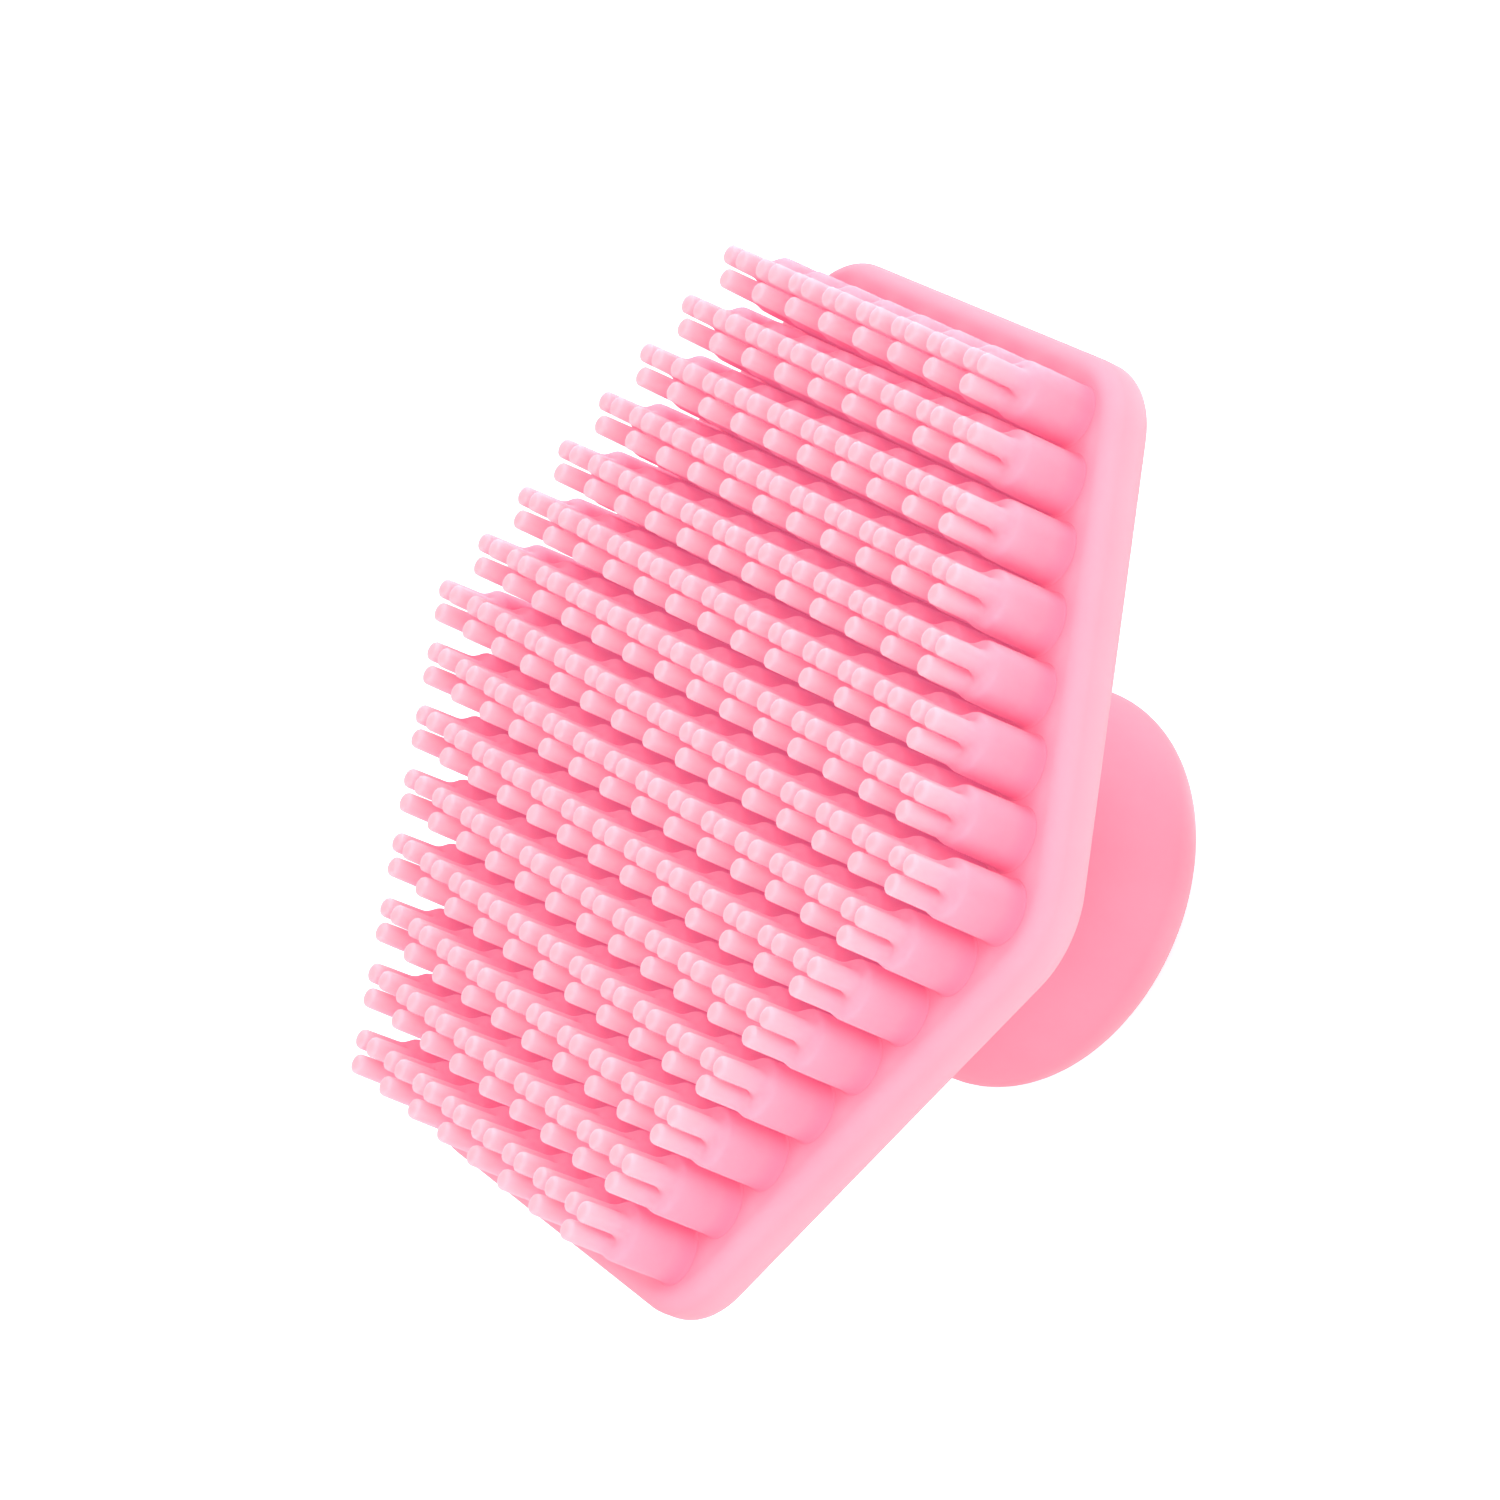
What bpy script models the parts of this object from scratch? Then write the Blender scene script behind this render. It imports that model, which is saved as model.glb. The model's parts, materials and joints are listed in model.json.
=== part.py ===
"""Hexagonal silicone scalp massager brush, in metres, +Z up.

The brush stands on the crown of its knob with the bristles up. The origin is the centre of the flat on
the crown. X runs along the rows of bristles and Y across them, and row 1 is the row at +Y.

The brush is modelled as its functional pieces: a backing plate, a neck, a grip knob, and fifteen rows of
bristles. Each row has a round root bar that lies in a groove of the plate, and leans about that bar.
"""
import math

import bmesh
import bpy
from mathutils import Matrix, Vector

MM = 0.001

# Bristle field
PITCH = 4.7 * MM                              # between posts in a row
ROW_PITCH = PITCH * math.sqrt(3) / 2          # between rows, so that the posts form a triangular grid
ROW_COUNT = 15
LONGEST_ROW = 15                              # posts in the middle row, one fewer in each row away from it
BRISTLE_HEIGHT = 8.1 * MM                     # plate face to tine tips
TINE_LENGTH = 3.2 * MM                        # above the post's top
POST_BASE_RADIUS = 2.0 * MM
POST_TOP_RADIUS = 1.95 * MM
TINE_CIRCLE_RADIUS = 1.02 * MM                # the three tines stand on this circle
TINE_ROOT_RADIUS = 0.72 * MM
TINE_TIP_RADIUS = 0.68 * MM
TINE_ANGLES = [math.radians(a) for a in (-90, 30, 150)]

# Plate
PLATE_FLATS = 65.0 * MM
PLATE_THICKNESS = 3.4 * MM
PLATE_CORNER_RADIUS = 6.5 * MM
PLATE_EDGE_RADIUS = 1.3 * MM

# Handle
KNOB_RADIUS = 13.75 * MM
CROWN_FLAT_RADIUS = 5.5 * MM
CROWN_HEIGHT = 6.1 * MM                       # crown flat to the widest circle of the knob
KNOB_SHOULDER_HEIGHT = 7.2 * MM               # widest circle to the knob's top face
NECK_RADIUS = 7.0 * MM
NECK_LENGTH = 12.6 * MM
NECK_FLARE_RADIUS = 3.6 * MM                  # fillet at the plate
NECK_FOOT_RADIUS = 1.2 * MM                   # fillet at the knob

# Row hinges
ROOT_BAR_RADIUS = 0.85 * MM
ROOT_BAR_END = 1.2 * MM                       # bar past the centre of the last post
GAP = 0.3 * MM                                # between neighbouring pieces
POST_LIFT = 0.65 * MM                         # posts start this far above the face, so that a row can lean

# Levels
KNOB_TOP_Z = CROWN_HEIGHT + KNOB_SHOULDER_HEIGHT
PLATE_BACK_Z = KNOB_TOP_Z + NECK_LENGTH
PLATE_FACE_Z = PLATE_BACK_Z + PLATE_THICKNESS

# Facets
POST_SIDES = 6
TINE_SIDES = 4
BAR_SIDES = 8
TURNED_STEPS = 36
ARC_STEPS = 5

PINK_TIP = (0.93, 0.44, 0.55)
PINK_BODY = (0.92, 0.38, 0.50)
PINK_KNOB = (0.90, 0.33, 0.46)


def clear_scene():
    for item in list(bpy.data.objects):
        bpy.data.objects.remove(item, do_unlink=True)


def new_collection(name):
    collection = bpy.data.collections.new(name)
    bpy.context.scene.collection.children.link(collection)
    return collection


def silicone(name, colour):
    material = bpy.data.materials.new(name)
    material.use_nodes = True
    shader = material.node_tree.nodes["Principled BSDF"]
    shader.inputs["Base Color"].default_value = (*colour, 1)
    shader.inputs["Roughness"].default_value = 0.45
    shader.inputs["Metallic"].default_value = 0
    return material


def add_mesh_object(name, mesh, collection, location=(0, 0, 0)):
    item = bpy.data.objects.new(name, mesh)
    item.location = location
    collection.objects.link(item)
    return item


def mesh_from(bm, name):
    mesh = bpy.data.meshes.new(name)
    bm.to_mesh(mesh)
    bm.free()
    return mesh


def as_cutter(item):
    item.hide_render = True
    item.display_type = 'WIRE'
    return item


def boolean(item, other, operation):
    modifier = item.modifiers.new(operation.title(), 'BOOLEAN')
    modifier.object = other
    modifier.operation = operation
    modifier.solver = 'EXACT'


def finish_piece(item, colour, smooth_angle=None):
    item.data.materials.append(silicone(item.name, colour))
    if smooth_angle is not None:
        item.data.shade_smooth()
        item.data.set_sharp_from_angle(angle=smooth_angle)


def equal_area_radius(radius, sides):
    """Circumradius of the regular polygon with the area of a circle of this radius."""
    return radius * math.sqrt(2 * math.pi / (sides * math.sin(2 * math.pi / sides)))


def row_posts(row):
    """Number of posts in a row, and the row's Y. Row 0 is the one at +Y."""
    middle = ROW_COUNT // 2
    return LONGEST_ROW - abs(row - middle), (middle - row) * ROW_PITCH


def post_places(count):
    return [(index - (count - 1) / 2) * PITCH for index in range(count)]


def add_cone(bm, sides, low_radius, high_radius, low_z, high_z, at=(0, 0), turn=0.0):
    centre = Vector((*at, (low_z + high_z) / 2))
    bmesh.ops.create_cone(
        bm, cap_ends=True, segments=sides,
        radius1=equal_area_radius(low_radius, sides), radius2=equal_area_radius(high_radius, sides),
        depth=high_z - low_z, matrix=Matrix.Translation(centre) @ Matrix.Rotation(turn, 4, 'Z'))


def bristle_mesh(cutters):
    """One post with its three tines as a single closed mesh, with z = 0 on the plate's face."""
    post_top = BRISTLE_HEIGHT - TINE_LENGTH
    bm = bmesh.new()
    add_cone(bm, POST_SIDES, POST_BASE_RADIUS, POST_TOP_RADIUS, POST_LIFT, post_top,
             turn=math.pi / POST_SIDES)
    post = as_cutter(add_mesh_object("bristle_post", mesh_from(bm, "bristle_post"), cutters))
    bm = bmesh.new()
    for angle in TINE_ANGLES:
        at = (TINE_CIRCLE_RADIUS * math.cos(angle), TINE_CIRCLE_RADIUS * math.sin(angle))
        add_cone(bm, TINE_SIDES, TINE_ROOT_RADIUS, TINE_TIP_RADIUS, post_top - GAP, BRISTLE_HEIGHT, at,
                 turn=math.pi / TINE_SIDES)
    tines = as_cutter(add_mesh_object("bristle_tines", mesh_from(bm, "bristle_tines"), cutters))
    boolean(post, tines, 'UNION')
    graph = bpy.context.evaluated_depsgraph_get()
    return bpy.data.meshes.new_from_object(post.evaluated_get(graph))


def add_bar(bm, radius, length, centre=(0, 0, 0)):
    """A bar along X."""
    bmesh.ops.create_cone(
        bm, cap_ends=True, segments=BAR_SIDES, radius1=radius, radius2=radius, depth=length,
        matrix=Matrix.Translation(centre) @ Matrix.Rotation(math.pi / 2, 4, 'Y'))


def bar_length(count):
    return (count - 1) * PITCH + 2 * ROOT_BAR_END


def bristle_row(row, bristle, parts, cutters):
    """A root bar with its posts. The object's origin is on the bar's axis, about which the row leans."""
    count, y = row_posts(row)
    name = f"bristle_row_{row + 1:02d}"
    place = (0, y, PLATE_FACE_Z)
    bm = bmesh.new()
    for x in post_places(count):
        start = len(bm.verts)
        bm.from_mesh(bristle)
        bm.verts.ensure_lookup_table()
        bmesh.ops.translate(bm, verts=bm.verts[start:], vec=(x, 0, 0))
    posts = as_cutter(add_mesh_object(f"{name}_posts", mesh_from(bm, f"{name}_posts"), cutters, place))
    bm = bmesh.new()
    add_bar(bm, ROOT_BAR_RADIUS, bar_length(count))
    piece = add_mesh_object(name, mesh_from(bm, name), parts, place)
    boolean(piece, posts, 'UNION')
    finish_piece(piece, PINK_TIP)


def groove_cutter(cutters):
    """One bar-shaped cutter for each row's root."""
    bm = bmesh.new()
    for row in range(ROW_COUNT):
        count, y = row_posts(row)
        radius = (ROOT_BAR_RADIUS + GAP) / math.cos(math.pi / BAR_SIDES)
        add_bar(bm, radius, bar_length(count) + 2 * GAP, (0, y, PLATE_FACE_Z))
    return as_cutter(add_mesh_object("root_grooves", mesh_from(bm, "root_grooves"), cutters))


def backing_plate(parts, cutters):
    """A six-sided disc with rounded corners and edges, grooved for the rows' root bars."""
    corner_radius = PLATE_FLATS / 2 / math.cos(math.pi / 6)
    middle = Vector((0, 0, PLATE_BACK_Z + PLATE_THICKNESS / 2))
    bm = bmesh.new()
    bmesh.ops.create_cone(
        bm, cap_ends=True, segments=6, radius1=corner_radius, radius2=corner_radius, depth=PLATE_THICKNESS,
        matrix=Matrix.Translation(middle) @ Matrix.Rotation(math.pi / 2, 4, 'Z'))
    upright = [edge for edge in bm.edges if abs(edge.verts[0].co.z - edge.verts[1].co.z) > GAP]
    bmesh.ops.bevel(
        bm, geom=upright, affect='EDGES', offset=PLATE_CORNER_RADIUS * math.tan(math.pi / 6),
        offset_type='OFFSET', segments=ARC_STEPS, profile=0.5)
    plate = add_mesh_object("backing_plate", mesh_from(bm, "backing_plate"), parts)
    edge = plate.modifiers.new("RoundedEdge", 'BEVEL')
    edge.width = PLATE_EDGE_RADIUS
    edge.segments = 3
    edge.limit_method = 'ANGLE'
    edge.angle_limit = math.radians(40)
    boolean(plate, groove_cutter(cutters), 'DIFFERENCE')
    finish_piece(plate, PINK_BODY)


def arc(centre_r, centre_z, radius_r, radius_z, start, end, steps=ARC_STEPS):
    """Points (r, z) on an ellipse's arc, angles in degrees, both ends included."""
    points = []
    for step in range(steps + 1):
        angle = math.radians(start + (end - start) * step / steps)
        points.append((centre_r + radius_r * math.cos(angle), centre_z + radius_z * math.sin(angle)))
    return points


def turned(name, profile, parts, colour):
    """A solid turned about Z from (r, z) points that run from the top, down the outer side."""
    bm = bmesh.new()
    verts = [bm.verts.new((r, 0, z)) for r, z in profile]
    for upper, lower in zip(verts, verts[1:]):
        bm.edges.new((upper, lower))
    item = add_mesh_object(name, mesh_from(bm, name), parts)
    screw = item.modifiers.new("Turned", 'SCREW')
    screw.steps = TURNED_STEPS
    screw.render_steps = TURNED_STEPS
    screw.use_merge_vertices = True
    screw.merge_threshold = 0.00001
    screw.use_smooth_shade = True
    finish_piece(item, colour, math.radians(50))


def grip_knob(parts):
    """A mushroom: a low crown below the widest circle, and a rounded shoulder above it."""
    shoulder = arc(NECK_RADIUS, CROWN_HEIGHT, KNOB_RADIUS - NECK_RADIUS, KNOB_SHOULDER_HEIGHT, 90, 0)
    crown = arc(CROWN_FLAT_RADIUS, CROWN_HEIGHT, KNOB_RADIUS - CROWN_FLAT_RADIUS, CROWN_HEIGHT, 0, -90)
    turned("grip_knob", [(0, KNOB_TOP_Z)] + shoulder + crown[1:] + [(0, 0)], parts, PINK_KNOB)


def knob_neck(parts):
    """The stem between the plate and the knob, with a wide fillet at the plate and a small one below."""
    top = PLATE_BACK_Z - GAP
    foot = KNOB_TOP_Z + GAP
    flare = arc(NECK_RADIUS + NECK_FLARE_RADIUS, top - NECK_FLARE_RADIUS, NECK_FLARE_RADIUS,
                NECK_FLARE_RADIUS, 90, 180)
    base = arc(NECK_RADIUS + NECK_FOOT_RADIUS, foot + NECK_FOOT_RADIUS, NECK_FOOT_RADIUS,
               NECK_FOOT_RADIUS, 180, 270, 2)
    turned("knob_neck", [(0, top)] + flare + base + [(0, foot)], parts, PINK_KNOB)


def build():
    clear_scene()
    parts = new_collection("scalp_massager_brush")
    cutters = new_collection("cutters")
    bristle = bristle_mesh(cutters)
    for row in range(ROW_COUNT):
        bristle_row(row, bristle, parts, cutters)
    backing_plate(parts, cutters)
    knob_neck(parts)
    grip_knob(parts)


build()
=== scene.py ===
import json
import math

import bpy
import numpy as np
from mathutils import Matrix, Vector, geometry


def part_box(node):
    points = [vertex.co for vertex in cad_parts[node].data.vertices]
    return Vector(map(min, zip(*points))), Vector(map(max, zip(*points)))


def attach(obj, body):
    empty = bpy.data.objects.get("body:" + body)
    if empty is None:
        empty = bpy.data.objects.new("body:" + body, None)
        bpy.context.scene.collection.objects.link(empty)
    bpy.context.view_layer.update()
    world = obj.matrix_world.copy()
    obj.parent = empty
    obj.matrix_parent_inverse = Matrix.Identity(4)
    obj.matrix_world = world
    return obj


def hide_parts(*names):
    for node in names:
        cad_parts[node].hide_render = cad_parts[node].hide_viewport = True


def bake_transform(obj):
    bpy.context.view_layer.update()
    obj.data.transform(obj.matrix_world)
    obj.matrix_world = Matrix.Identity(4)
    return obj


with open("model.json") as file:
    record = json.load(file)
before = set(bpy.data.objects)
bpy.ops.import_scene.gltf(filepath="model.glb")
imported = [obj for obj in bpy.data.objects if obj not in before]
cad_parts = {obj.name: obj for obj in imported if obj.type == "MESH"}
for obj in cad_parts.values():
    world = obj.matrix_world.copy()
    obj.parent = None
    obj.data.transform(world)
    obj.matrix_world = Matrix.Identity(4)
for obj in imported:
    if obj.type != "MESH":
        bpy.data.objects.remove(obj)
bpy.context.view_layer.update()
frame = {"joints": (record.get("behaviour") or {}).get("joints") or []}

MM = 0.001
TINY = 1e-6


def box_mm(node):
    """Lowest and highest corner of a CAD node, in millimetres."""
    low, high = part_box(node)
    return low / MM, high / MM


plate_low, plate_high = box_mm("backing_plate")
knob_high = box_mm("grip_knob")[1]
row_high = box_mm("bristle_row_08")[1]

# Levels and widths that the CAD sets
FACE_Z = plate_high.z
BACK_Z = plate_low.z
TIP_Z = row_high.z
PLATE_APOTHEM = plate_high.y
KNOB_RADIUS = knob_high.x
KNOB_TOP_Z = knob_high.z

# One bristle: a post with three tines on top
BRISTLE_HEIGHT = TIP_Z - FACE_Z
PITCH = 4.7
TINE_LENGTH = 3.2
POST_HEIGHT = BRISTLE_HEIGHT - TINE_LENGTH
POST_BASE_RADIUS = 2.0
POST_TOP_RADIUS = 1.93
SHOULDER_RADIUS = 0.75
FOOT_FILLET = 0.15
TINE_ROOT_RADIUS = 0.72
TINE_TIP_RADIUS = 0.68
TINE_TIP_EDGE = 0.28
TINE_CIRCLE_RADIUS = 1.02
TINE_SEAT = 0.3
TINE_FILLET_INNER = 0.8
TINE_FILLET_OUTER = 0.25
TINE_ANGLES = [math.radians(a) for a in (-90, 30, 150)]

# How finely a bristle is meshed
POST_SIDES = 32
TINE_SIDES = 14
FOOT_STEPS = 4
POST_LEVELS = 6
RIM_ANGLE = 30                                 # degrees round the shoulder, where the post's top begins
RIM_STEPS = 3
TINE_FOOT_LIFTS = (0, 0.13, 0.3, 0.52, 0.8)    # rings above a tine's root, closest in its fillet
TINE_LEVELS = 4
TINE_TIP_STEPS = 4
ROOT_LOOP_REACHES = (0.16, 0.34)               # loops of points round each tine's root
TOP_LOOP_RADII = (1.5, 1.15, 0.8, 0.4)         # loops of points round the post's axis
TOP_LOOP_SIDES = 18
RIM_CLEARANCE = 0.06
ROOT_CLEARANCE = 0.1
LEAST_SPACING = 0.14

# How points are moved onto the soft fillets between post and tines
SETTLED_LOW = POST_HEIGHT - SHOULDER_RADIUS + 0.05
SETTLED_HIGH = POST_HEIGHT + 1.0
SETTLE_ROUNDS = 8
SLOPE_REACH = 0.005
LEAST_STEEPNESS = 0.2

# Plate, neck and knob
PLATE_CORNERS = 6
PLATE_CORNER_RADIUS = 6.5
PLATE_EDGE_RADIUS = 1.3
NECK_RADIUS = 7.0
NECK_FLARE_RADIUS = 3.6
NECK_FOOT_RADIUS = 1.4
CROWN_HEIGHT = 6.1
CROWN_FLAT_RADIUS = 5.5
SHOULDER_WIDTH = KNOB_RADIUS - NECK_RADIUS
SHOULDER_HEIGHT = KNOB_TOP_Z - CROWN_HEIGHT

# How finely the handle is meshed
TURNED_SIDES = 128
CORNER_STEPS = 14
PLATE_EDGE_STEPS = 8
PLATE_FLAT_SHARES = (0.2, 0.4, 0.6, 0.8, 0.95)    # where the rings on the plate's flats lie
CROWN_FLAT_SHARE = 0.5                         # where the ring on the crown's flat lies
CROWN_STEPS = 20
SHOULDER_STEPS = 18
NECK_FOOT_STEPS = 8
NECK_FLARE_STEPS = 12
CONTACT_HALVINGS = 50
SHARP_ANGLE = math.radians(60)

# Silicone
# Painted shade in creases: how far the occlusion test reaches and how many rays it takes
CREASE_REACH = 1.5 * MM
CREASE_SAMPLES = 4
CLOUD_SCALE = 140
CLOUD_DETAIL = 3
CLOUD_SHARE = 0.12
CLOUD_DEPTH = 0.93                             # how much deeper than the lowest pink a cloud is
SATIN_SCALE = 900
GRAIN_SCALE = 5200
FINE_DETAIL = 2
NOISE_LOW = 0.3
NOISE_HIGH = 0.7
ROUGHNESS_LOW = 0.62
ROUGHNESS_HIGH = 0.74
GRAIN_STRENGTH = 0.12
GRAIN_DEPTH = 0.02 * MM
SILICONE_IOR = 1.41
SPECULAR_LEVEL = 0.06
SHEEN_ROUGHNESS = 0.4
SOFT_START = 0.4                               # above a material's lowest level
SOFT_END = 2.0
SOFT_SPREAD = (1.0, 0.5, 0.6)

# Floor and backdrop
FLOOR_HALF_WIDTH = 3.0
FLOOR_DROP = 0.02 * MM
FLOOR_SEEN = (0.9, 0.9, 0.9)
FLOOR_BOUNCE = (0.65, 0.65, 0.65)
FLOOR_GLOW = 0.6
FLOOR_ROUGHNESS = 0.9
WORLD_LIGHT = 0.45

# Lamps: azimuth and elevation in degrees, distance and size in metres, power in watts
LAMPS = {"key": (96, 32, 0.6, 1.2, 8.3),
         "side": (204, 8, 0.6, 0.2, 3.0),
         "fill": (350, 6, 0.6, 0.3, 1.3)}

# The photograph's camera
AIM = Vector((3.3, 1.0, 32.1)) * MM
CAMERA_DISTANCE = 372.7 * MM
CAMERA_AZIMUTH = math.radians(93.62)
CAMERA_ELEVATION = math.radians(30.92)
CAMERA_ROLL = math.radians(-66.6)
CAMERA_LENS = 141.7
SENSOR_WIDTH = 36
CLIP_START = 0.01
CLIP_END = 20


# ---------------------------------------------------------------- meshes

def arc(centre, radii, start, end, steps):
    """Points on an ellipse's arc, angles in degrees, both ends included."""
    turn = np.radians(np.linspace(start, end, steps + 1))
    return [(centre[0] + radii[0] * math.cos(t), centre[1] + radii[1] * math.sin(t)) for t in turn]


def circle(x, y, radius, sides):
    """Points anticlockwise round a centre."""
    turns = np.arange(sides) * (2 * math.pi / sides)
    return [(x + radius * math.cos(t), y + radius * math.sin(t)) for t in turns]


def new_piece(name, verts, faces, material):
    """A smooth-shaded mesh object from points in millimetres."""
    mesh = bpy.data.meshes.new(name)
    mesh.from_pydata((np.asarray(verts) * MM).tolist(), [], faces)
    mesh.shade_smooth()
    mesh.materials.append(material)
    piece = bpy.data.objects.new(name, mesh)
    bpy.context.scene.collection.objects.link(piece)
    return piece


def loft(rings):
    """Points and faces of a skin over rings of equal length that run anticlockwise, seen from above.
    A ring of one point is a pole, and closes the skin."""
    verts = []
    faces = []
    starts = []
    for ring in rings:
        starts.append(len(verts))
        verts.extend(ring)
    for lower, upper, low, high in zip(rings, rings[1:], starts, starts[1:]):
        count = max(len(lower), len(upper))
        for k in range(count):
            after = (k + 1) % count
            if len(lower) == 1:
                faces.append((low, high + after, high + k))
            elif len(upper) == 1:
                faces.append((low + k, low + after, high))
            else:
                faces.append((low + k, low + after, high + after, high + k))
    return verts, faces


def turned(profile, sides):
    """Rings of a shape turned about Z from (r, z) points that run upwards on its outer side."""
    rings = []
    for r, z in profile:
        if r < TINY:
            rings.append([(0.0, 0.0, z)])
        else:
            rings.append([(x, y, z) for x, y in circle(0.0, 0.0, r, sides)])
    return rings


# ---------------------------------------------------------------- bristles

def tine_centres():
    return [(TINE_CIRCLE_RADIUS * math.cos(a), TINE_CIRCLE_RADIUS * math.sin(a)) for a in TINE_ANGLES]


def post_radius(z):
    return POST_BASE_RADIUS + (POST_TOP_RADIUS - POST_BASE_RADIUS) * z / POST_HEIGHT


def tine_radius(z):
    return TINE_ROOT_RADIUS + (TINE_TIP_RADIUS - TINE_ROOT_RADIUS) * (z - POST_HEIGHT) / TINE_LENGTH


def post_distance(points):
    """Distance from points to the post with its rounded shoulder, negative inside."""
    out = np.hypot(points[:, 0], points[:, 1]) - (post_radius(points[:, 2]) - SHOULDER_RADIUS)
    up = points[:, 2] - (POST_HEIGHT - SHOULDER_RADIUS)
    corner = np.hypot(np.maximum(out, 0), np.maximum(up, 0))
    return corner + np.minimum(np.maximum(out, up), 0) - SHOULDER_RADIUS


def tine_distance(points):
    """Distance from points to the nearest tine, a tapered rod that starts just inside the post."""
    each = [np.hypot(points[:, 0] - x, points[:, 1] - y) - tine_radius(points[:, 2])
            for x, y in tine_centres()]
    return np.maximum(np.min(each, axis=0), POST_HEIGHT - TINE_SEAT - points[:, 2])


def bristle_distance(points):
    """The post and the tines joined with a soft fillet."""
    post = post_distance(points)
    tine = tine_distance(points)
    out = np.hypot(points[:, 0], points[:, 1])
    fillet = np.interp(out, (TINE_CIRCLE_RADIUS, POST_TOP_RADIUS), (TINE_FILLET_INNER, TINE_FILLET_OUTER))
    near = np.maximum(fillet - np.abs(post - tine), 0) / fillet
    return np.minimum(post, tine) - near * near * fillet / 4


def settle(points):
    """Moves points along the slope of the distance until they lie on the bristle's surface."""
    for _ in range(SETTLE_ROUNDS):
        slope = np.stack([bristle_distance(points + step) - bristle_distance(points - step)
                          for step in np.eye(3) * SLOPE_REACH], axis=1) / (2 * SLOPE_REACH)
        steepness = np.maximum((slope ** 2).sum(axis=1), LEAST_STEEPNESS)
        points = points - (bristle_distance(points) / steepness)[:, None] * slope
    return points


def cap_height(x, y):
    """Height of the post's top over a point, before the tines are added."""
    out = max(math.hypot(x, y) - (POST_TOP_RADIUS - SHOULDER_RADIUS), 0)
    return POST_HEIGHT - SHOULDER_RADIUS + math.sqrt(max(SHOULDER_RADIUS ** 2 - out ** 2, 0))


def post_rings():
    """Rings up the post, from the foot's fillet to partway round the shoulder."""
    foot = arc((POST_BASE_RADIUS + FOOT_FILLET, FOOT_FILLET), (FOOT_FILLET, FOOT_FILLET),
               270, 180, FOOT_STEPS)
    shaft_top = POST_HEIGHT - SHOULDER_RADIUS
    shaft = [(post_radius(z), z) for z in np.linspace(FOOT_FILLET, shaft_top, POST_LEVELS)[1:-1]]
    shoulder = arc((POST_TOP_RADIUS - SHOULDER_RADIUS, shaft_top), (SHOULDER_RADIUS, SHOULDER_RADIUS),
                   0, RIM_ANGLE, RIM_STEPS)
    return turned([(0, 0)] + foot + shaft + shoulder, POST_SIDES)


def top_points(rim_radius):
    """Points on the post's top, seen from above, clear of its rim, the tine roots and each other."""
    free = []
    for x, y in tine_centres():
        for reach in ROOT_LOOP_REACHES:
            free += circle(x, y, TINE_ROOT_RADIUS + reach, TINE_SIDES)
    for radius in TOP_LOOP_RADII:
        free += circle(0.0, 0.0, radius, TOP_LOOP_SIDES)
    free.append((0.0, 0.0))
    clear = [p for p in free if math.hypot(*p) < rim_radius - RIM_CLEARANCE
             and all(math.dist(p, c) > TINE_ROOT_RADIUS + ROOT_CLEARANCE for c in tine_centres())]
    kept = []
    for point in clear:
        if all(math.dist(point, other) >= LEAST_SPACING for other in kept):
            kept.append(point)
    return kept


def cap_faces(rim, roots):
    """Points and triangles of the post's top, seen from above, between its rim and the tine roots."""
    loops = [[(x, y) for x, y, z in rim]] + [[(x, y) for x, y, z in root] for root in roots]
    fixed = [point for loop in loops for point in loop]
    edges = []
    start = 0
    for loop in loops:
        edges += [(start + k, start + (k + 1) % len(loop)) for k in range(len(loop))]
        start += len(loop)
    kept = top_points(math.hypot(rim[0][0], rim[0][1]))
    flat = [Vector(p) for p in fixed + kept]
    points, _, triangles, origins, _, _ = geometry.delaunay_2d_cdt(flat, edges, [], 0, TINY)
    source = [found[0] for found in origins]
    inside = []
    for triangle in triangles:
        middle = sum((points[k] for k in triangle), Vector((0, 0))) / 3
        if all((middle - Vector(c)).length > TINE_ROOT_RADIUS * math.cos(math.pi / TINE_SIDES)
               for c in tine_centres()):
            inside.append(tuple(source[k] for k in triangle))
    return kept, inside


def tine_rings(x, y):
    """Rings up one tine, from its root on the post's top to its blunt tip."""
    around = circle(x, y, TINE_ROOT_RADIUS, TINE_SIDES)
    rings = [[(px, py, cap_height(px, py) + lift) for px, py in around] for lift in TINE_FOOT_LIFTS]
    shaft_start = POST_HEIGHT + TINE_FOOT_LIFTS[-1]
    shaft_end = BRISTLE_HEIGHT - TINE_TIP_EDGE
    levels = [(tine_radius(z), z) for z in np.linspace(shaft_start, shaft_end, TINE_LEVELS)[1:-1]]
    levels += arc((TINE_TIP_RADIUS - TINE_TIP_EDGE, shaft_end), (TINE_TIP_EDGE, TINE_TIP_EDGE),
                  0, 90, TINE_TIP_STEPS)
    for radius, z in levels:
        rings.append([(px, py, z) for px, py in circle(x, y, radius, TINE_SIDES)])
    rings.append([(x, y, BRISTLE_HEIGHT)])
    return rings


def bristle():
    """Points and faces of one bristle, its foot at the origin."""
    post = post_rings()
    verts, faces = loft(post)
    rim = list(range(len(verts) - POST_SIDES, len(verts)))
    tines = []
    for x, y in tine_centres():
        rings = tine_rings(x, y)
        points, skin = loft(rings)
        start = len(verts)
        verts += points
        faces += [tuple(start + k for k in face) for face in skin]
        tines.append((start, rings[0]))
    kept, triangles = cap_faces(post[-1], [root for _, root in tines])
    start = len(verts)
    verts += [(x, y, cap_height(x, y)) for x, y in kept]
    order = rim + [first + k for first, _ in tines for k in range(TINE_SIDES)]
    order += list(range(start, len(verts)))
    faces += [tuple(order[k] for k in triangle) for triangle in triangles]
    points = np.array(verts, float)
    soft = (points[:, 2] > SETTLED_LOW) & (points[:, 2] < SETTLED_HIGH)
    points[soft] = settle(points[soft])
    return points, faces


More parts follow.
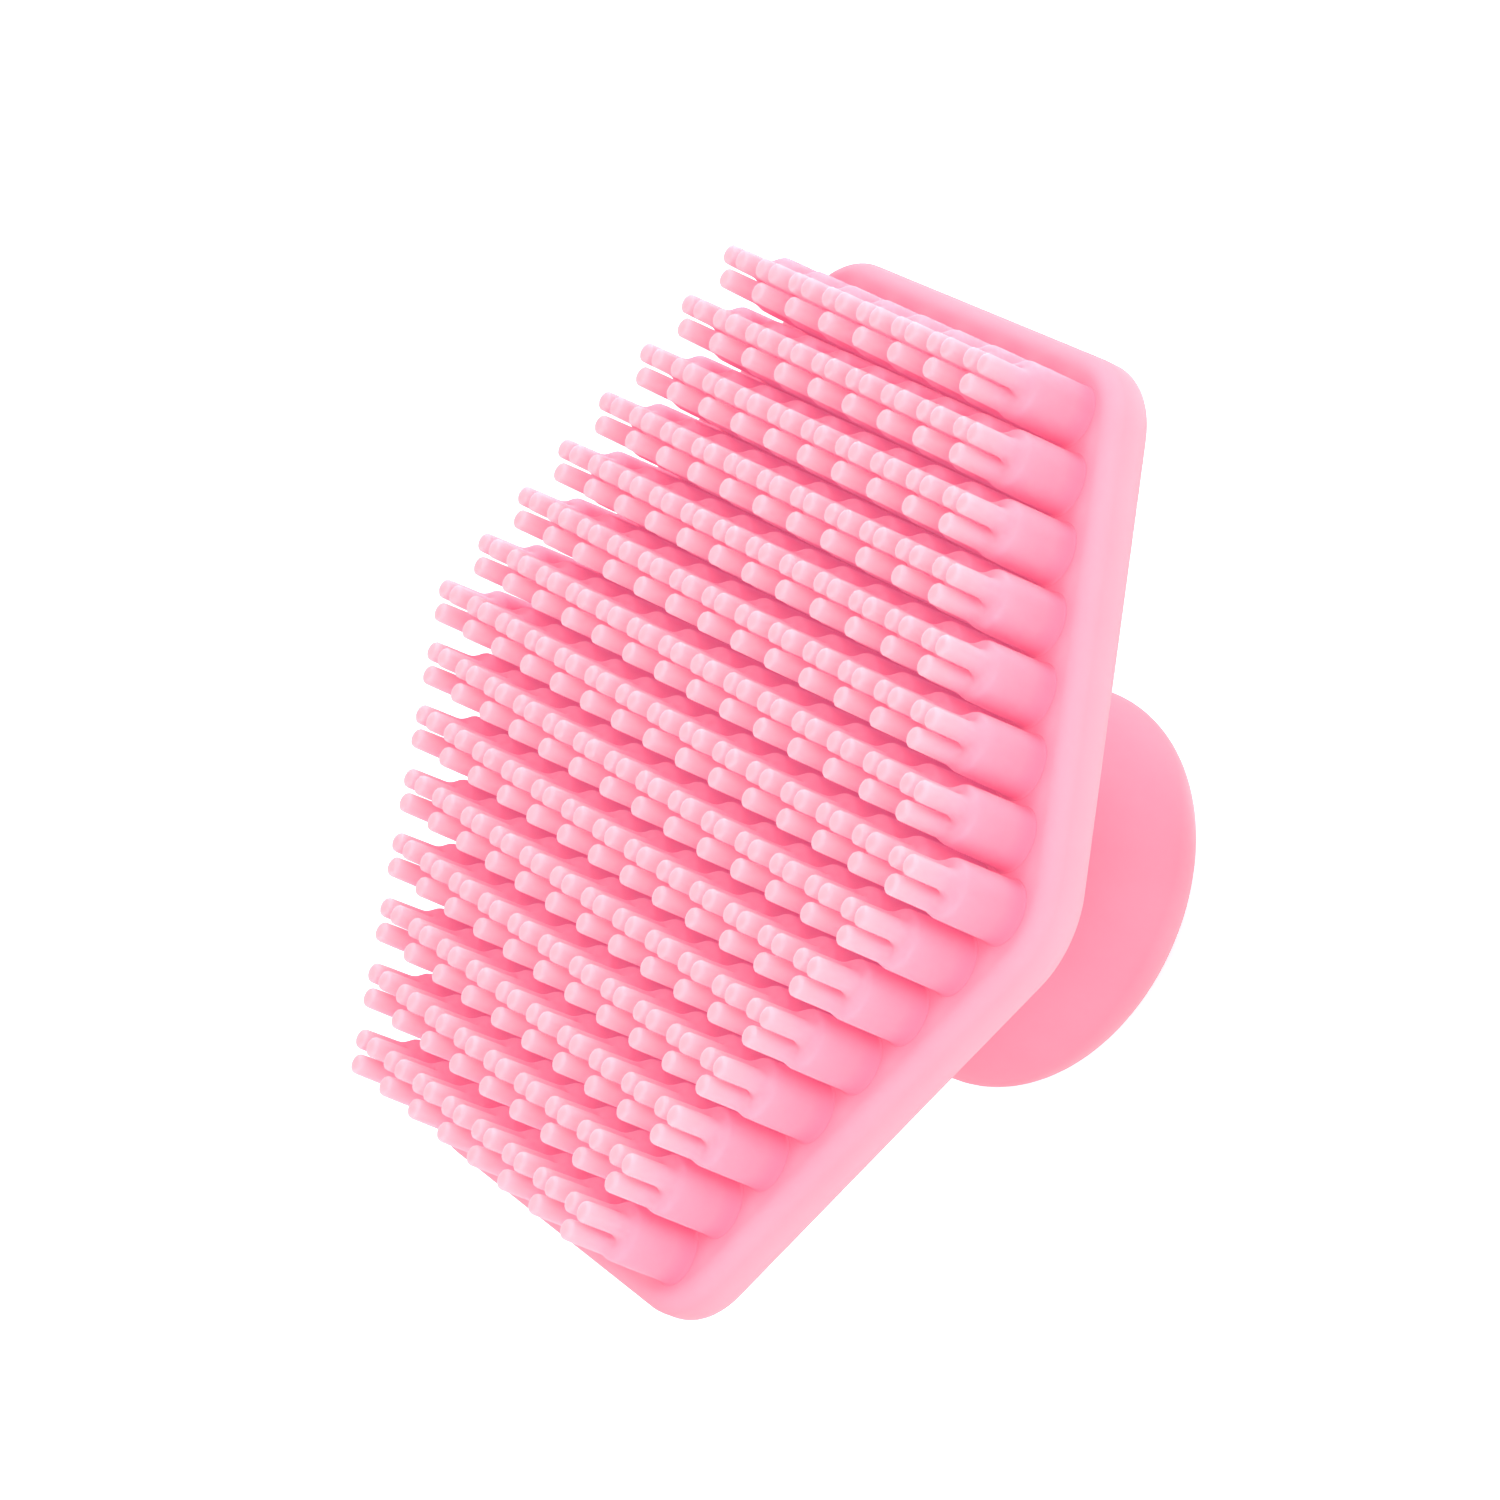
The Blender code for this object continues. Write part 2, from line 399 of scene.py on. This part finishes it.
def bristle_row(joint, one_bristle, material):
    """A row of bristles in place of the row's CAD node."""
    body = joint["child"]
    node = "bristle_" + body
    low, high = box_mm(node)
    count = round((high.x - low.x - 2 * POST_BASE_RADIUS) / PITCH) + 1
    points, faces = one_bristle
    y = joint["pos_m"][1] / MM
    verts = []
    skin = []
    for k in range(count):
        place = np.array(((k - (count - 1) / 2) * PITCH, y, FACE_Z))
        skin += [tuple(len(verts) + i for i in face) for face in faces]
        verts += (points + place).tolist()
    piece = new_piece(node + "_moulded", verts, skin, material)
    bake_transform(piece)
    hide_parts(node)


# ---------------------------------------------------------------- handle

def rounded_hexagon(apothem, corner_radius, z):
    """A ring round a regular hexagon with round corners, its corners at +X and -X."""
    ring = []
    half_turn = 180 / PLATE_CORNERS
    corner_centre = (apothem - corner_radius) / math.cos(math.radians(half_turn))
    for x, y in circle(0, 0, corner_centre, PLATE_CORNERS):
        turn = math.degrees(math.atan2(y, x))
        round_corner = arc((x, y), (corner_radius, corner_radius),
                           turn - half_turn, turn + half_turn, CORNER_STEPS)
        ring += [(px, py, z) for px, py in round_corner]
    return ring


def flat_rings(z, shares):
    """Rings across one of the plate's two flats, each a share of its outline."""
    edge = PLATE_EDGE_RADIUS
    outline = rounded_hexagon(PLATE_APOTHEM - edge, PLATE_CORNER_RADIUS - edge, z)
    return [[(x * share, y * share, z) for x, y, z in outline] for share in shares]


def plate_rings():
    """Rings from the middle of the plate's back, round its edge, to the middle of its face."""
    edge = PLATE_EDGE_RADIUS
    flat = PLATE_APOTHEM - edge
    lower = arc((flat, BACK_Z + edge), (edge, edge), 270, 360, PLATE_EDGE_STEPS)
    upper = arc((flat, FACE_Z - edge), (edge, edge), 0, 90, PLATE_EDGE_STEPS)
    rings = [[(0, 0, BACK_Z)]] + flat_rings(BACK_Z, PLATE_FLAT_SHARES)
    for apothem, z in lower + upper:
        rings.append(rounded_hexagon(apothem, PLATE_CORNER_RADIUS - (PLATE_APOTHEM - apothem), z))
    return rings + flat_rings(FACE_Z, PLATE_FLAT_SHARES[::-1]) + [[(0, 0, FACE_Z)]]


def shoulder_slope(angle):
    """Unit vector straight out of the knob's shoulder, which is a quarter of an ellipse."""
    return Vector((math.cos(angle) / SHOULDER_WIDTH, math.sin(angle) / SHOULDER_HEIGHT)).normalized()


def shoulder_contact():
    """Angle on the knob's shoulder, in radians, where the neck's foot fillet touches it."""
    low = math.radians(45)
    high = math.radians(90)
    for _ in range(CONTACT_HALVINGS):
        angle = (low + high) / 2
        reach = SHOULDER_WIDTH * math.cos(angle) + NECK_FOOT_RADIUS * shoulder_slope(angle).x
        if reach > NECK_FOOT_RADIUS:
            low = angle
        else:
            high = angle
    return low


def knob_profile():
    """From the crown's flat up to where the neck's fillet starts."""
    flat = [(0, 0), (CROWN_FLAT_RADIUS * CROWN_FLAT_SHARE, 0)]
    crown = arc((CROWN_FLAT_RADIUS, CROWN_HEIGHT), (KNOB_RADIUS - CROWN_FLAT_RADIUS, CROWN_HEIGHT),
                -90, 0, CROWN_STEPS)
    shoulder = arc((NECK_RADIUS, CROWN_HEIGHT), (SHOULDER_WIDTH, SHOULDER_HEIGHT),
                   0, math.degrees(shoulder_contact()), SHOULDER_STEPS)
    return flat + crown + shoulder[1:] + [(0, shoulder[-1][1])]


def neck_profile():
    """From the knob's shoulder, up the neck, to the flare that runs out on the plate's back."""
    contact = shoulder_contact()
    slope = shoulder_slope(contact)
    touch = Vector((NECK_RADIUS + SHOULDER_WIDTH * math.cos(contact),
                    CROWN_HEIGHT + SHOULDER_HEIGHT * math.sin(contact)))
    centre = touch + slope * NECK_FOOT_RADIUS
    start = math.degrees(math.atan2(-slope.y, -slope.x)) + 360
    foot = arc(centre, (NECK_FOOT_RADIUS, NECK_FOOT_RADIUS), start, 180, NECK_FOOT_STEPS)
    flare = arc((NECK_RADIUS + NECK_FLARE_RADIUS, BACK_Z - NECK_FLARE_RADIUS),
                (NECK_FLARE_RADIUS, NECK_FLARE_RADIUS), 180, 90, NECK_FLARE_STEPS)
    return [(0, touch.y)] + foot + flare + [(0, BACK_Z)]


def handle_piece(node, rings, material):
    """A piece that rides on the handle in place of a CAD node."""
    verts, faces = loft(rings)
    piece = new_piece(node + "_moulded", verts, faces, material)
    piece.data.set_sharp_from_angle(angle=SHARP_ANGLE)
    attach(piece, "handle")
    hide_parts(node)


# ---------------------------------------------------------------- materials

class Nodes:
    """The node tree of a material or a world, with short calls to add and join nodes."""

    def __init__(self, owner, shader_name):
        owner.use_nodes = True
        self.tree = owner.node_tree
        self.shader = self.tree.nodes[shader_name]

    def add(self, kind, **values):
        node = self.tree.nodes.new(kind)
        for key, value in values.items():
            setattr(node, key, value)
        return node

    def join(self, output, target):
        self.tree.links.new(output, target)

    def noise(self, scale, detail):
        place = self.add("ShaderNodeNewGeometry")
        node = self.add("ShaderNodeTexNoise")
        node.inputs["Scale"].default_value = scale
        node.inputs["Detail"].default_value = detail
        self.join(place.outputs["Position"], node.inputs["Vector"])
        return node.outputs["Fac"]

    def ranged(self, value, low, high, to_low, to_high):
        node = self.add("ShaderNodeMapRange")
        limits = {"From Min": low, "From Max": high, "To Min": to_low, "To Max": to_high}
        for key, number in limits.items():
            node.inputs[key].default_value = number
        self.join(value, node.inputs["Value"])
        return node.outputs["Result"]

    def mixed(self, share, first, second):
        node = self.add("ShaderNodeMix", data_type='RGBA')
        self.join(share, node.inputs["Factor"])
        for key, colour in (("A", first), ("B", second)):
            socket = next(s for s in node.inputs if s.name == key and s.type == 'RGBA')
            if isinstance(colour, tuple):
                socket.default_value = (*colour, 1)
            else:
                self.join(colour, socket)
        return next(s for s in node.outputs if s.type == 'RGBA')

    def ramp(self, value, shares, colours):
        """A colour that runs through one colour at each share."""
        node = self.add("ShaderNodeValToRGB")
        marks = node.color_ramp.elements
        while len(marks) < len(colours):
            marks.new(0.5)                     # moved to its own share below
        for mark, share, colour in zip(marks, shares, colours):
            mark.position = share
            mark.color = (*colour, 1)
        self.join(value, node.inputs["Fac"])
        return node.outputs["Color"]

    def seen(self):
        """1 where the camera itself looks, and 0 for the light that falls on other things."""
        return self.add("ShaderNodeLightPath").outputs["Is Camera Ray"]

    def open_share(self, reach):
        """1 on open surfaces, falling towards 0 deep in a crease."""
        crease = self.add("ShaderNodeAmbientOcclusion", samples=CREASE_SAMPLES)
        crease.inputs["Distance"].default_value = reach
        return crease.outputs["AO"]

    def height(self):
        place = self.add("ShaderNodeNewGeometry")
        split = self.add("ShaderNodeSeparateXYZ")
        self.join(place.outputs["Position"], split.inputs["Vector"])
        return split.outputs["Z"]


# Levels up each material: the height, the pink there with painted light and shade in it, and a painted
# glow that stands in for light spread through the silicone
# Bristles: the pink deepens towards the foot as painted shade between the rows, and the strong glow at
# the tips is painted light
BRISTLE_LEVELS = [
    (FACE_Z, (0.85, 0.145, 0.205), (0.14, 0.055, 0.115)),
    (FACE_Z + 0.5, (0.85, 0.16, 0.22), (0.14, 0.055, 0.125)),
    (FACE_Z + 1.5, (0.85, 0.22, 0.27), (0.14, 0.055, 0.125)),
    (FACE_Z + POST_HEIGHT, (0.85, 0.28, 0.325), (0.15, 0.065, 0.14)),
    (TIP_Z, (0.84, 0.245, 0.28), (0.31, 0.235, 0.27))]
# Plate: the paler pink on the back and its lower rounding is painted light from below
PLATE_LEVELS = [
    (BACK_Z, (0.94, 0.44, 0.49), (0.12, 0.05, 0.09)),
    (BACK_Z + 1.2, (0.94, 0.32, 0.375), (0.12, 0.05, 0.09)),
    (FACE_Z - 1.0, (0.94, 0.265, 0.32), (0.12, 0.05, 0.09)),
    (FACE_Z, (0.94, 0.265, 0.325), (0.12, 0.055, 0.11))]
# Knob: the paler pink low down at the crown is painted light from below
KNOB_LEVELS = [
    (0, (0.94, 0.42, 0.47), (0.12, 0.055, 0.10)),
    (5, (0.94, 0.22, 0.28), (0.12, 0.05, 0.095)),
    (BACK_Z, (0.94, 0.20, 0.27), (0.12, 0.045, 0.09))]


def paint(nodes, levels, painted_crease_shade):
    """The pink by height with painted light and shade in it, a painted glow by height, a faint
    cloudiness, and painted shade: a deeper pink in creases.
    """
    lowest = levels[0][0]
    highest = levels[-1][0]
    by_height = nodes.ranged(nodes.height(), lowest * MM, highest * MM, 0, 1)
    shares = [(z - lowest) / (highest - lowest) for z, pink, glow in levels]
    pink = nodes.ramp(by_height, shares, [pink for z, pink, glow in levels])
    # Painted glow: emission by height that stands in for light spread through the silicone
    glow = nodes.ramp(by_height, shares, [glow for z, pink, glow in levels])
    cloud = nodes.ranged(nodes.noise(CLOUD_SCALE, CLOUD_DETAIL), NOISE_LOW, NOISE_HIGH, 0, CLOUD_SHARE)
    clouded = nodes.mixed(cloud, pink, tuple(CLOUD_DEPTH * c for c in levels[0][1]))
    # Painted shade: a deeper pink where ambient occlusion finds a crease
    crease_shaded = nodes.mixed(nodes.open_share(CREASE_REACH), painted_crease_shade, clouded)
    nodes.join(crease_shaded, nodes.shader.inputs["Base Color"])
    nodes.join(glow, nodes.shader.inputs["Emission Color"])
    nodes.shader.inputs["Emission Strength"].default_value = 1


def soften(nodes, lowest, weight_low, weight_high, scale):
    """Light scattered under the surface, from one weight to another above the lowest level."""
    weight = nodes.ranged(nodes.height(), (lowest + SOFT_START) * MM, (lowest + SOFT_END) * MM,
                          weight_low, weight_high)
    nodes.join(weight, nodes.shader.inputs["Subsurface Weight"])
    nodes.shader.inputs["Subsurface Radius"].default_value = SOFT_SPREAD
    nodes.shader.inputs["Subsurface Scale"].default_value = scale * MM


def satin(nodes, sheen):
    """A matte finish with a fine grain."""
    surface = nodes.shader
    roughness = nodes.ranged(nodes.noise(SATIN_SCALE, FINE_DETAIL), NOISE_LOW, NOISE_HIGH,
                             ROUGHNESS_LOW, ROUGHNESS_HIGH)
    nodes.join(roughness, surface.inputs["Roughness"])
    surface.inputs["IOR"].default_value = SILICONE_IOR
    surface.inputs["Specular IOR Level"].default_value = SPECULAR_LEVEL
    surface.inputs["Sheen Weight"].default_value = sheen
    surface.inputs["Sheen Roughness"].default_value = SHEEN_ROUGHNESS
    grain = nodes.add("ShaderNodeBump")
    grain.inputs["Strength"].default_value = GRAIN_STRENGTH
    grain.inputs["Distance"].default_value = GRAIN_DEPTH
    nodes.join(nodes.noise(GRAIN_SCALE, FINE_DETAIL), grain.inputs["Height"])
    nodes.join(grain.outputs["Normal"], surface.inputs["Normal"])


def silicone(name, levels, painted_crease_shade, soft_weights, soft_scale, sheen):
    """Matte translucent silicone, with painted light and shade in its colour and a painted glow."""
    material = bpy.data.materials.new(name)
    nodes = Nodes(material, "Principled BSDF")
    paint(nodes, levels, painted_crease_shade)
    soften(nodes, levels[0][0], *soft_weights, soft_scale)
    satin(nodes, sheen)
    return material


# ---------------------------------------------------------------- studio

def direction(azimuth, elevation):
    """Unit vector towards a place seen from the object: azimuth 0 is -Y and 90 is +X, in radians."""
    return Vector((math.sin(azimuth) * math.cos(elevation),
                   -math.cos(azimuth) * math.cos(elevation),
                   math.sin(elevation)))


def add_floor():
    """A white floor that glows a little, so that it stays pale under the brush."""
    material = bpy.data.materials.new("floor_white")
    nodes = Nodes(material, "Principled BSDF")
    surface = nodes.shader
    seen = nodes.seen()
    nodes.join(nodes.mixed(seen, FLOOR_BOUNCE, FLOOR_SEEN), surface.inputs["Base Color"])
    surface.inputs["Roughness"].default_value = FLOOR_ROUGHNESS
    surface.inputs["Emission Color"].default_value = (1, 1, 1, 1)
    nodes.join(nodes.ranged(seen, 0, 1, 0, FLOOR_GLOW), surface.inputs["Emission Strength"])
    half = FLOOR_HALF_WIDTH
    corners = [(-half, -half, 0), (half, -half, 0), (half, half, 0), (-half, half, 0)]
    mesh = bpy.data.meshes.new("floor")
    mesh.from_pydata(corners, [], [(0, 1, 2, 3)])
    mesh.materials.append(material)
    floor = bpy.data.objects.new("floor", mesh)
    floor.location.z = -FLOOR_DROP
    bpy.context.scene.collection.objects.link(floor)


def add_lamp(name, azimuth, elevation, distance, size, power):
    lamp = bpy.data.lights.new(name, 'AREA')
    lamp.shape = 'DISK'
    lamp.size = size
    lamp.energy = power
    item = bpy.data.objects.new(name, lamp)
    towards = direction(math.radians(azimuth), math.radians(elevation))
    item.location = AIM + towards * distance
    item.rotation_euler = towards.to_track_quat('Z', 'Y').to_euler()
    bpy.context.scene.collection.objects.link(item)


def add_world():
    """Soft white light from all round, behind a backdrop that the camera sees as plain white."""
    world = bpy.data.worlds.new("studio")
    nodes = Nodes(world, "Background")
    nodes.shader.inputs["Color"].default_value = (1, 1, 1, 1)
    nodes.join(nodes.ranged(nodes.seen(), 0, 1, WORLD_LIGHT, 1), nodes.shader.inputs["Strength"])
    bpy.context.scene.world = world


def add_camera():
    back = direction(CAMERA_AZIMUTH, CAMERA_ELEVATION)
    data = bpy.data.cameras.new("camera")
    data.lens = CAMERA_LENS
    data.sensor_width = SENSOR_WIDTH
    data.clip_start = CLIP_START
    data.clip_end = CLIP_END
    camera = bpy.data.objects.new("camera", data)
    bpy.context.scene.collection.objects.link(camera)
    upright = back.to_track_quat('Z', 'Y').to_matrix().to_4x4()
    camera.matrix_world = (Matrix.Translation(AIM + back * CAMERA_DISTANCE)
                           @ upright @ Matrix.Rotation(CAMERA_ROLL, 4, 'Z'))
    bpy.context.scene.camera = camera


# ---------------------------------------------------------------- the scene

def build():
    bristle_pink = silicone("bristle_silicone", BRISTLE_LEVELS, painted_crease_shade=(0.85, 0.20, 0.255),
                            soft_weights=(0, 1), soft_scale=3.5, sheen=0.05)
    plate_pink = silicone("plate_silicone", PLATE_LEVELS, painted_crease_shade=(0.86, 0.10, 0.17),
                          soft_weights=(0.2, 0.2), soft_scale=1.0, sheen=0.05)
    knob_pink = silicone("knob_silicone", KNOB_LEVELS, painted_crease_shade=(0.86, 0.12, 0.18),
                         soft_weights=(0.2, 0.2), soft_scale=1.0, sheen=0.25)
    one_bristle = bristle()
    for joint in frame["joints"]:
        bristle_row(joint, one_bristle, bristle_pink)
    handle_piece("backing_plate", plate_rings(), plate_pink)
    handle_piece("knob_neck", turned(neck_profile(), TURNED_SIDES), knob_pink)
    handle_piece("grip_knob", turned(knob_profile(), TURNED_SIDES), knob_pink)
    add_floor()
    for name, values in LAMPS.items():
        add_lamp(name, *values)
    add_world()
    add_camera()
    bpy.context.scene.view_settings.view_transform = 'Standard'


build()
